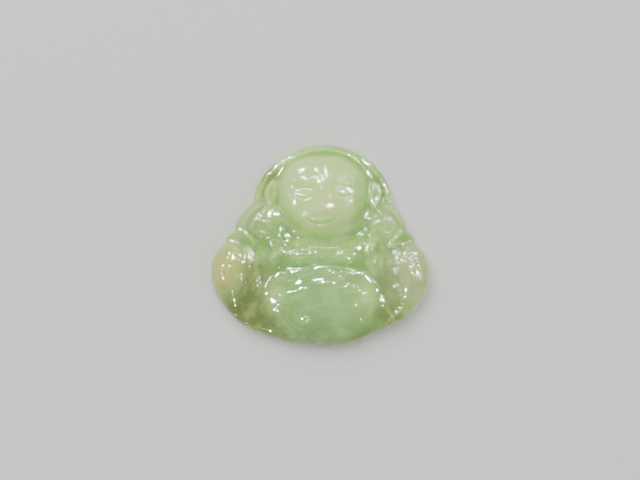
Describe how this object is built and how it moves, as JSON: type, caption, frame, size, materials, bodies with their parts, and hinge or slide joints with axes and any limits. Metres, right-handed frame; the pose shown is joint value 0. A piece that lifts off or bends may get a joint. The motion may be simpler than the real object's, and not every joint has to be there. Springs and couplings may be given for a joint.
{
  "type": "carved jade pendant",
  "caption": "Carved jade pendant of a seated, round-bellied monk in relief, with a flat back to lie on and a slanting cord hole at the crown.",
  "frame": {"origin": "on the flat back, at the middle of the pendant's width and height", "axes": "+X across the figure, +Y from the lap to the crown of the head, +Z out of the back through the carved front"},
  "size_m": [0.046, 0.0424, 0.01],
  "materials": {
    "jade": "polished, translucent pale green"
  },
  "bodies": {
    "root": {"jade_figure": "jade"}
  },
  "joints": []
}
